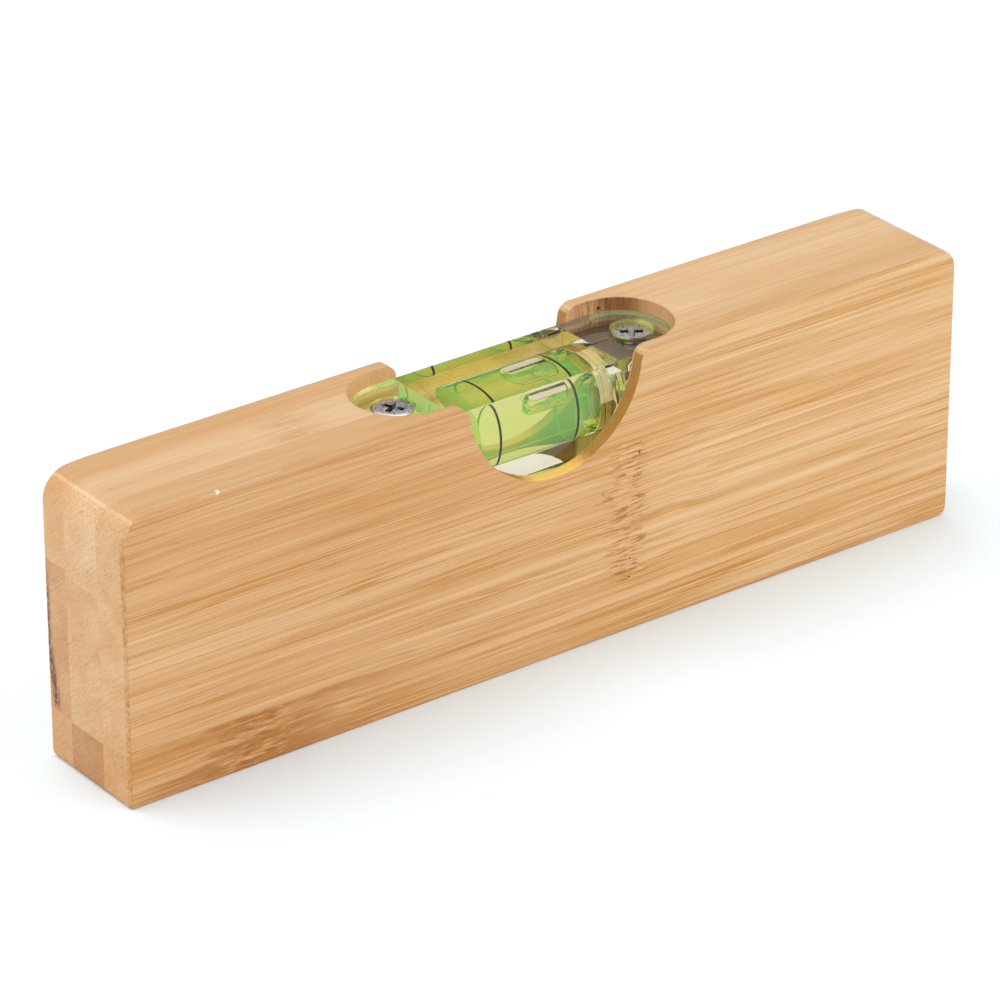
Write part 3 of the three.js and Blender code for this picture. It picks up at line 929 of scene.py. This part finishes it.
def vial_body():
    half = VIAL_HALF_WIDTH
    ears = arc(EAR_X[1] - half, 0, half, -90, 90, EAR_STEPS)
    ears += arc(EAR_X[0] + half, 0, half, 90, 270, EAR_STEPS)
    block = prism(ears, VIAL_Z[1] - EAR_THICKNESS, VIAL_Z[1])
    outline = [(BODY_X[0], -half), (BODY_X[1], -half), (BODY_X[1], half), (BODY_X[0], half)]
    block = combined("UNION", block, [prism(outline, *VIAL_Z)])
    simplify(block, DISSOLVE_VIAL)
    soften(block, corners(block), MOULDED_EDGE, 2)
    end = BODY_X[1] + OVERRUN
    tools = [turned([(0, BORE_X[0]), (BORE_RADIUS, BORE_X[0]), (BORE_RADIUS, BORE_X[1]),
                     (BORE_MOUTH_RADIUS, BORE_X[1]), (BORE_MOUTH_RADIUS, end), (0, end)],
                    BORE_STEPS, (0, 0, BORE_Z), along_x=True)]
    hole = SCREW_NECK_RADIUS + SCREW_HOLE_GAP
    mouth = SCREW_HEAD_RADIUS + SCREW_HOLE_GAP
    top = VIAL_Z[1] + OVERRUN
    for x, head_top, _ in SCREWS.values():
        cone_top = head_top - SCREW_RIM
        tools.append(turned([(0, VIAL_Z[0]), (hole, VIAL_Z[0]), (hole, cone_top - (mouth - hole)),
                             (mouth, cone_top), (mouth, top), (0, top)], HOLE_STEPS, (x, 0, 0)))
    block = combined("DIFFERENCE", block, tools)
    for face in block.faces:
        face.material_index = vial_face(face)
    return finished("vial_block_clear", block, [
        acrylic("clear_acrylic", IOR_ACRYLIC),
        acrylic("wetted_acrylic", IOR_WET_BORE),
        acrylic("edge_lit_acrylic", IOR_ACRYLIC, EDGE_GLOW),
    ], SMOOTH_VIAL)


def vial_plug():
    inner = BORE_RADIUS - PLUG_FIT
    outer = BORE_MOUTH_RADIUS - PLUG_FIT
    step = BORE_X[1] + 0.05
    bm = turned([(0, PLUG_START), (inner - PLUG_EDGE, PLUG_START), (inner, PLUG_START + PLUG_EDGE),
                 (inner, step), (outer, step), (outer, BODY_X[1] - PLUG_EDGE),
                 (outer - PLUG_EDGE, BODY_X[1]), (0, BODY_X[1])],
                BORE_STEPS, (0, 0, BORE_Z), along_x=True)
    for face in bm.faces:
        centre = face.calc_center_median()
        # The front of the plug's upper side gets a painted cream glow.
        lit = from_bore(centre) > 0.99 * inner and centre.x < BORE_X[1] * MM
        lit = lit and centre.y < 0 and centre.z > (BORE_Z + PLUG_LIT_ABOVE) * MM
        wetted = centre.x < (PLUG_START + 0.01) * MM
        face.material_index = 1 if wetted else 2 if lit else 0
    return finished("vial_plug_clear", bm, [
        acrylic("plug_acrylic", IOR_ACRYLIC),
        acrylic("wetted_plug", IOR_WET_BORE),
        acrylic("lit_plug", IOR_ACRYLIC, PLUG_GLOW),
    ], SMOOTH_VIAL)


def vial_liquid():
    radius = BORE_RADIUS - LIQUID_GAP
    start = BORE_X[0] + LIQUID_GAP
    end = PLUG_START - LIQUID_GAP
    profile = [(0, start), (radius, start), (radius, end), (0, end)]
    bm = turned(profile, BORE_STEPS, (0, 0, BORE_Z), along_x=True)
    for face in bm.faces:
        face.material_index = 1 if face.calc_center_median().x < (start + 0.01) * MM else 0
    return finished("vial_liquid", bm, [
        spirit("green_spirit", SPIRIT_SURFACE_GLOW),
        spirit("green_spirit_end", SPIRIT_END_GLOW),
    ], SMOOTH_VIAL)


def bubble_piece():
    """A slug that lies along the top of the bore: its back follows the bore, its ends are round."""
    middle_x = (BUBBLE_X[0] + BUBBLE_X[1]) / 2
    half = (BUBBLE_X[1] - BUBBLE_X[0]) / 2
    straight = half - BUBBLE_CAP
    turns = [math.pi / 2 * i / BUBBLE_CAP_STEPS for i in range(1, BUBBLE_CAP_STEPS + 1)]
    sections = [(-straight - BUBBLE_CAP * math.cos(t), math.sin(t)) for t in turns]
    sections += [(straight + BUBBLE_CAP * math.cos(t), math.sin(t)) for t in reversed(turns)]
    bm = bmesh.new()
    loops = []
    for x, size in sections:
        loop = []
        for k in range(BUBBLE_STEPS):
            a = 2 * math.pi * k / BUBBLE_STEPS
            y = BUBBLE_HALF_WIDTH * size * math.cos(a)
            up = BUBBLE_Z - BORE_Z + BUBBLE_HALF_HEIGHT * size * math.sin(a)
            squeeze = min(1.0, BUBBLE_BACK_RADIUS / math.hypot(y, up))
            loop.append(bm.verts.new((middle_x + x, y * squeeze, BORE_Z + up * squeeze)))
        loops.append(loop)
    ends = [[bm.verts.new((x, 0, BUBBLE_Z))] for x in (middle_x - half, middle_x + half)]
    loops = [ends[0], *loops, ends[1]]
    for low, high in zip(loops, loops[1:]):
        skin(bm, low, high)
    return finished("bubble_air", in_metres(bm), [air()], SMOOTH_BUBBLE)


def ring_ink():
    """Matt black ink, with a painted green glow, the liquid's light, on the side that faces it."""
    g = Graph("ring_ink")
    place = _, y, z = g.place()
    print_noise = g.noise(place, (6.0, 3.0, 3.0), 3.0)
    _, ny, nz = g.normal()
    outward = g.add(g.times(ny, y), g.times(nz, g.minus(z, BORE_Z)))
    ink = g.mix(print_noise, *INK_COLOURS)
    return g.finish(g.principled(
        Base_Color=g.paint(ink, INK_PAINTED_GLOW, g.ramp(outward, -1.0, 1.0, 0.8, 0.0)),
        Roughness=g.ramp(print_noise, 0.2, 0.8, 0.45, 0.7),
    ))


def index_ring(side, x, material):
    inner, outer = RING_RADII
    half, edge = RING_WIDTH / 2, RING_EDGE
    profile = [(inner, x - half + edge), (inner + edge, x - half), (outer - edge, x - half),
               (outer, x - half + edge), (outer, x + half - edge), (outer - edge, x + half),
               (inner + edge, x + half), (inner, x + half - edge)]
    bm = turned(profile, RING_STEPS, (0, 0, BORE_Z), along_x=True)
    return finished(f"index_ring_{side}_fine", bm, [material], SMOOTH_RING)


def build_vial():
    ink = ring_ink()
    pieces = [
        (vial_body(), "vial_block", "clear_acrylic", ROOT_BODY),
        (vial_plug(), "vial_plug", "plug_acrylic", ROOT_BODY),
        (vial_liquid(), "vial_fluid", "green_spirit", ROOT_BODY),
        (index_ring("left", RING_X[0], ink), "index_ring_left", "ring_ink", ROOT_BODY),
        (index_ring("right", RING_X[1], ink), "index_ring_right", "ring_ink", ROOT_BODY),
        (bubble_piece(), "bubble", "air", BUBBLE_BODY),
    ]
    for piece, node, slot, body in pieces:
        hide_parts(node)
        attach(piece, body)


# ---- screws -------------------------------------------------------------------------------------
def steel(name, dark, light):
    g = Graph(name)
    place = x, y, z = g.place()
    grain = g.noise(place, (2.5, 2.5, 2.5), 4.0, 0.6)
    scratch = g.noise((g.add(x, y), g.minus(x, y), z), (9.0, 0.9, 1.0))
    scratched = g.times(g.ramp(scratch, 0.55, 0.8), 0.12)
    return g.finish(g.principled(
        Base_Color=g.mix(grain, dark, light),
        Roughness=g.add(g.ramp(grain, 0.3, 0.7, 0.20, 0.42), scratched),
        Normal=g.bump(scratch, STEEL_RELIEF, 0.5),
        Metallic=1.0,
    ))


def screw_blank(x, head_top):
    """Point, cut thread, neck and countersunk head as one skin, each loop a little further up."""
    point = head_top - SCREW_LENGTH
    cone_top = head_top - SCREW_RIM
    neck = cone_top - (SCREW_HEAD_RADIUS - SCREW_NECK_RADIUS)
    thread_end = neck - SCREW_NECK_LENGTH
    bm = bmesh.new()
    loops = []
    for i in range(1, THREAD_STEPS + 1):
        z = point + (thread_end - point) * i / THREAD_STEPS
        grow = min(1.0, (z - point) / SCREW_POINT)
        fade = min(1.0, (thread_end - z) / SCREW_NECK_LENGTH)
        loop = []
        for k in range(SCREW_STEPS):
            phase = ((z - point) / SCREW_PITCH - k / SCREW_STEPS) % 1.0
            crest = max(0.0, 1.0 - abs(phase - 0.5) / SCREW_CREST)
            thread = (SCREW_THREAD_RADIUS - SCREW_CORE_RADIUS) * crest * fade
            radius = grow * (SCREW_CORE_RADIUS + thread)
            a = 2 * math.pi * k / SCREW_STEPS
            loop.append(bm.verts.new((x + radius * math.cos(a), radius * math.sin(a), z)))
        loops.append(loop)
    rim_top = head_top - SCREW_CROWN
    for radius, z in [
        (SCREW_NECK_RADIUS, neck - 0.5),
        (SCREW_NECK_RADIUS, neck),
        (SCREW_HEAD_RADIUS - 0.06, cone_top - 0.04),
        (SCREW_HEAD_RADIUS, cone_top + 0.05),
        (SCREW_HEAD_RADIUS, rim_top - 0.06),
        (SCREW_HEAD_RADIUS - 0.1, rim_top),
        (SCREW_HEAD_RADIUS * 0.7, head_top - SCREW_CROWN * 0.4),
        (SCREW_HEAD_RADIUS * 0.35, head_top),
    ]:
        loops.append(circle(bm, radius, z, SCREW_STEPS, x))
    loops.insert(0, [bm.verts.new((x, 0, point))])
    for low, high in zip(loops, loops[1:]):
        skin(bm, low, high)
    bm.faces.new(loops[-1])
    return in_metres(bm)


def recess_wing(x, head_top, angle):
    """One arm pair of the cross recess: a wedge that narrows downwards."""
    bm = bmesh.new()
    loops = []
    for reach, width, z in RECESS_SECTIONS:
        outline = [(-reach, -width), (reach, -width), (reach, width), (-reach, width)]
        loops.append([bm.verts.new((across, along, z)) for across, along in outline])
    bm.faces.new(list(reversed(loops[0])))
    bm.faces.new(loops[-1])
    for low, high in zip(loops, loops[1:]):
        skin(bm, low, high)
    bm.transform(Matrix.Translation((x, 0, head_top)) @ Matrix.Rotation(angle, 4, "Z"))
    return in_metres(bm)


def build_screws():
    materials = [steel("screw_steel", *STEEL_COLOURS), steel("screw_recess_painted_shade", *RECESS_SHADE_COLOURS)]
    for name, (x, head_top, angle) in SCREWS.items():
        wings = [recess_wing(x, head_top, turn) for turn in (angle, angle + math.pi / 2)]
        bm = combined("DIFFERENCE", screw_blank(x, head_top), wings)
        # Faces in the cross recess take the darker steel, painted shade.
        for face in bm.faces:
            centre = face.calc_center_median()
            inside = math.hypot(centre.x / MM - x, centre.y / MM) < RECESS_REACH
            below = centre.z / MM - head_top
            in_recess = inside and -RECESS_DEPTH - 0.05 < below < -SCREW_CROWN - 0.01
            face.material_index = 1 if in_recess else 0
        piece = finished(name + "_fine", bm, materials, SMOOTH_SCREW)
        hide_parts(name)
        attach(piece, ROOT_BODY)


# ---- stage --------------------------------------------------------------------------------------
def towards(azimuth, elevation):
    level = math.cos(elevation)
    return Vector((math.cos(azimuth) * level, math.sin(azimuth) * level, math.sin(elevation)))


def build_camera():
    back = towards(CAMERA_AZIMUTH - math.pi / 2, CAMERA_ELEVATION)
    right = (-back).cross(Vector((0, 0, 1))).normalized()
    up = right.cross(-back)
    roll = CAMERA_ROLL
    rolled_right = math.cos(roll) * right + math.sin(roll) * up
    rolled_up = -math.sin(roll) * right + math.cos(roll) * up
    data = bpy.data.cameras.new("camera")
    data.sensor_width = SENSOR_WIDTH
    data.lens = CAMERA_LENS
    data.clip_start = CLIP_START
    data.clip_end = CLIP_END
    camera = bpy.data.objects.new("camera", data)
    turn = Matrix((rolled_right, rolled_up, back)).transposed().to_4x4()
    camera.matrix_world = Matrix.Translation(CAMERA_PLACE) @ turn
    bpy.context.scene.collection.objects.link(camera)
    bpy.context.scene.camera = camera


def sun(name, azimuth, elevation, spread, strength):
    data = bpy.data.lights.new(name, "SUN")
    data.angle = math.radians(spread)
    data.energy = strength
    lamp = bpy.data.objects.new(name, data)
    lamp.rotation_mode = "QUATERNION"
    direction = towards(math.radians(azimuth), math.radians(elevation))
    lamp.rotation_quaternion = direction.to_track_quat("Z", "Y")
    bpy.context.scene.collection.objects.link(lamp)


def studio_world():
    """White all round for lighting; mirror reflections see a dim room under a bright softbox."""
    g = Graph("studio", "worlds", "ShaderNodeOutputWorld")
    direction = g.parts(g.node("ShaderNodeTexCoord").outputs["Generated"])
    edge = (SOFTBOX_EDGE - SOFTBOX_SOFT, SOFTBOX_EDGE + SOFTBOX_SOFT)
    softbox = g.ramp(direction[2], *edge, ROOM, SOFTBOX)
    ray = g.node("ShaderNodeLightPath")
    mirrored = g.minus(ray.outputs["Is Glossy Ray"], ray.outputs["Is Transmission Ray"])
    background = g.node("ShaderNodeBackground")
    g.feed(background.inputs["Color"], rgb(1.0, 1.0, 1.0))
    g.feed(background.inputs["Strength"], g.ramp(mirrored, 0.0, 1.0, WORLD, softbox))
    bpy.context.scene.world = g.finish(background)


def build_stage():
    g = Graph("studio_floor")
    x, y, _ = g.place()
    paper = g.noise((x, y, 0.0), (0.5, 0.5, 1.0), 3.0)
    material = g.finish(g.principled(
        Base_Color=g.mix(paper, *FLOOR_COLOURS), Roughness=0.9, Specular_IOR_Level=0.1))
    sheet = bmesh.new()
    bmesh.ops.create_grid(sheet, x_segments=2, y_segments=2, size=FLOOR_HALF_WIDTH)
    finished("studio_floor", sheet, [material], SMOOTH_BLOCK)
    studio_world()
    for name, setting in SUNS.items():
        sun(name, *setting)

    scene = bpy.context.scene
    scene.view_settings.view_transform = "Standard"
    scene.cycles.max_bounces = BOUNCES
    scene.cycles.transmission_bounces = BOUNCES
    scene.cycles.transparent_max_bounces = BOUNCES
    scene.cycles.blur_glossy = GLOSSY_BLUR


build_bamboo()
build_vial()
build_screws()
build_camera()
build_stage()
